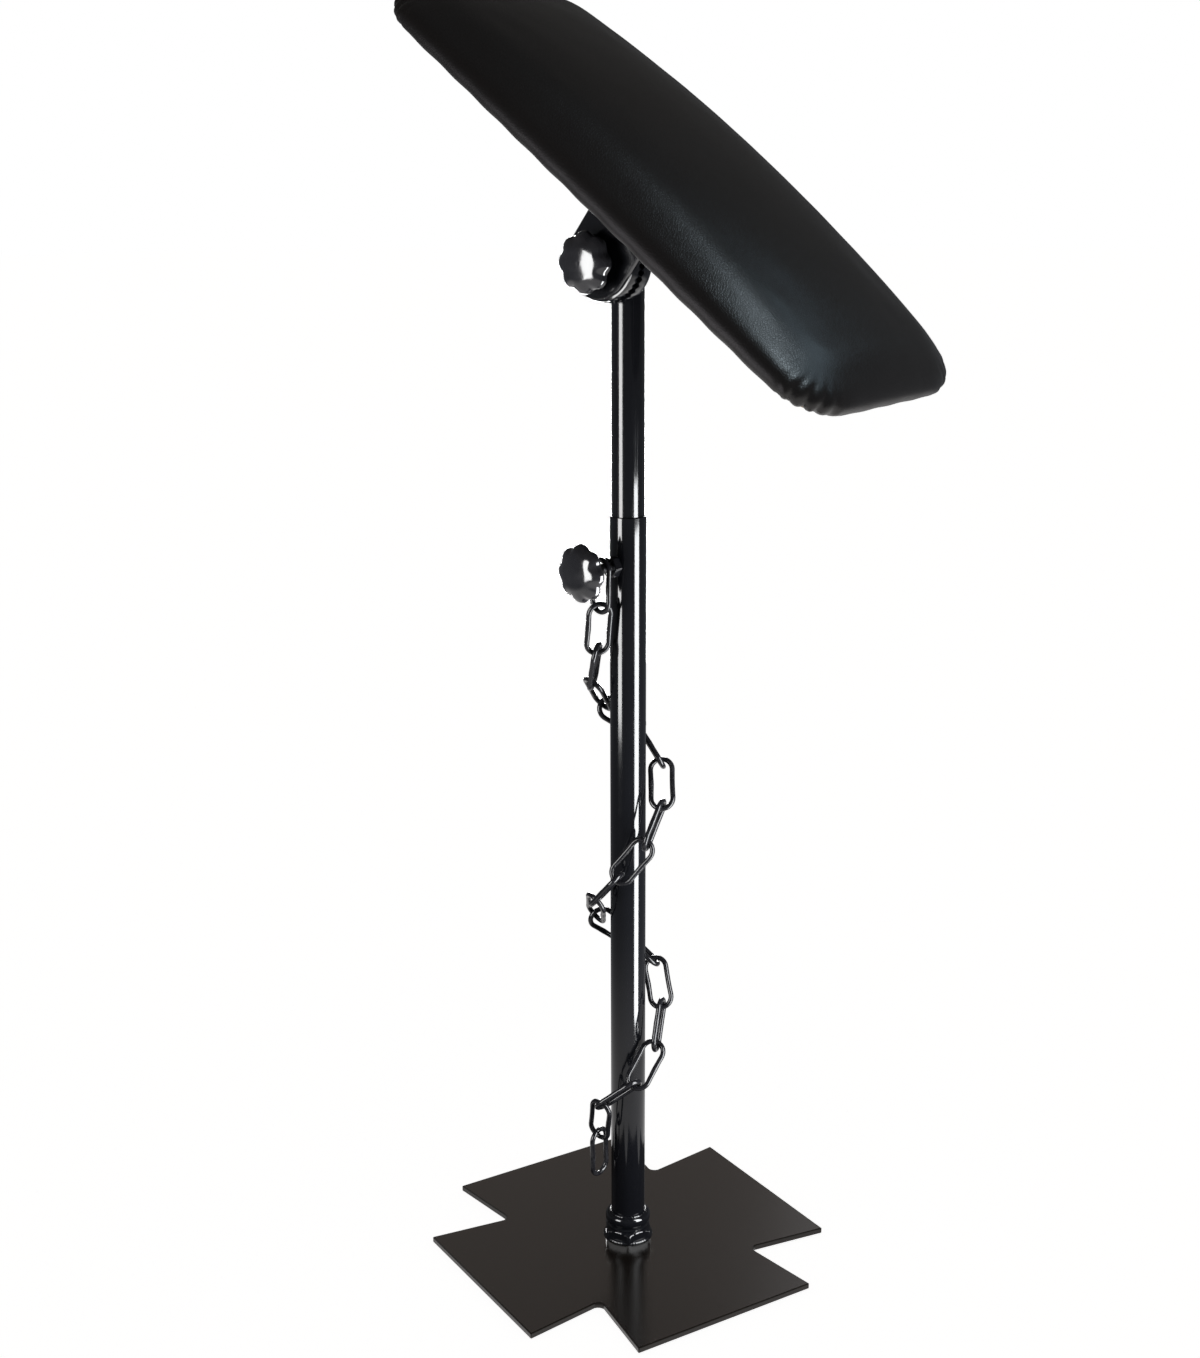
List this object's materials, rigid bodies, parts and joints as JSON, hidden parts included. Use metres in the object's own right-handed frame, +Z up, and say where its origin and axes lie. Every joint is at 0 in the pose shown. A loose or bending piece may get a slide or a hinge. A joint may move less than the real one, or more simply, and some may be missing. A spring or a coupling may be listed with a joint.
{
  "type": "adjustable padded arm rest stand",
  "caption": "Free-standing padded arm and leg rest: cross base, telescopic swivelling post with clamp knob and chain, and a pad on a toothed tilt hinge.",
  "frame": {"origin": "middle of the base plate's underside, on the post's axis", "axes": "+Z up along the post; X and Y along the base plate's four arms; both knobs point towards -X"},
  "size_m": [0.3172, 0.4025, 1.0047],
  "materials": {
    "post_paint": "gloss",
    "base_paint": "satin",
    "chain_coating": "gloss",
    "knob_plastic": "gloss",
    "nylon": "satin",
    "zinc_steel": "satin",
    "black_steel": "satin",
    "brass": "satin",
    "leatherette": "satin",
    "plywood": "matte",
    "foam": "matte",
    "dust_cloth": "matte"
  },
  "bodies": {
    "stand": {"base_plate": "base_paint", "foot_stud": "zinc_steel", "foot_nut": "post_paint", "foot_collar": "post_paint", "foot_plug": "zinc_steel", "lower_tube": "post_paint", "height_weld_nut": "post_paint", "chain_link_01": "chain_coating", "chain_link_02": "chain_coating", "chain_link_03": "chain_coating", "chain_link_04": "chain_coating", "chain_link_05": "chain_coating", "chain_link_06": "chain_coating", "chain_link_07": "chain_coating", "chain_link_08": "chain_coating", "chain_link_09": "chain_coating", "chain_link_10": "chain_coating", "chain_link_11": "chain_coating", "chain_link_12": "chain_coating", "chain_link_13": "chain_coating", "chain_link_14": "chain_coating", "chain_link_15": "chain_coating", "chain_link_16": "chain_coating", "chain_link_17": "chain_coating", "chain_link_18": "chain_coating", "chain_link_19": "chain_coating"},
    "glide": {"glide_bush": "nylon"},
    "upper_post": {"tube_end_plug": "knob_plastic", "glide_screw": "zinc_steel", "upper_tube": "post_paint", "tube_cap": "knob_plastic", "post_rosette": "post_paint", "tilt_bolt": "black_steel"},
    "pad": {"pad_ear": "post_paint", "pad_rosette": "post_paint", "mounting_plate": "post_paint", "plate_screw_1": "black_steel", "plate_screw_2": "black_steel", "plate_screw_3": "black_steel", "plate_screw_4": "black_steel", "pad_board": "plywood", "pad_foam": "foam", "pad_cover": "leatherette", "dust_cover": "dust_cloth"},
    "height_screw": {"height_washer": "black_steel"},
    "height_knob": {"height_knob_grip": "knob_plastic", "height_knob_stud": "black_steel"},
    "tilt_screw": {"tilt_washer": "black_steel"},
    "tilt_knob": {"tilt_knob_grip": "knob_plastic", "tilt_knob_insert": "brass"}
  },
  "joints": [
    {"name": "post_slide", "type": "slide", "parent": "stand", "child": "glide", "axis": [0, 0, 1], "range_m": [-0.14, 0.16]},
    {"name": "post_swivel", "type": "hinge", "parent": "glide", "child": "upper_post", "pos_m": [0, 0, 0.35], "axis": [0, 0, 1], "continuous": true},
    {"name": "pad_tilt", "type": "hinge", "parent": "upper_post", "child": "pad", "pos_m": [0, 0, 0.808], "axis": [-0.9317, -0.3633, 0], "range_deg": [-43.2, 116.8]},
    {"name": "height_screw_travel", "type": "slide", "parent": "stand", "child": "height_screw", "axis": [-0.9763, -0.2164, 0], "range_m": [0, 0.0038]},
    {"name": "height_knob_turn", "type": "hinge", "parent": "height_screw", "child": "height_knob", "pos_m": [0, 0, 0.58], "axis": [-0.9763, -0.2164, 0], "range_deg": [0, 1080]},
    {"name": "tilt_screw_travel", "type": "slide", "parent": "upper_post", "child": "tilt_screw", "axis": [-0.9317, -0.3633, 0], "range_m": [0, 0.0038]},
    {"name": "tilt_knob_turn", "type": "hinge", "parent": "tilt_screw", "child": "tilt_knob", "pos_m": [0, 0, 0.808], "axis": [-0.9317, -0.3633, 0], "range_deg": [0, 1080]}
  ],
  "couplings": [
    {"joint": "height_screw_travel", "follows": "height_knob_turn", "m_per_rad": 0.00019894},
    {"joint": "tilt_screw_travel", "follows": "tilt_knob_turn", "m_per_rad": 0.00019894}
  ]
}
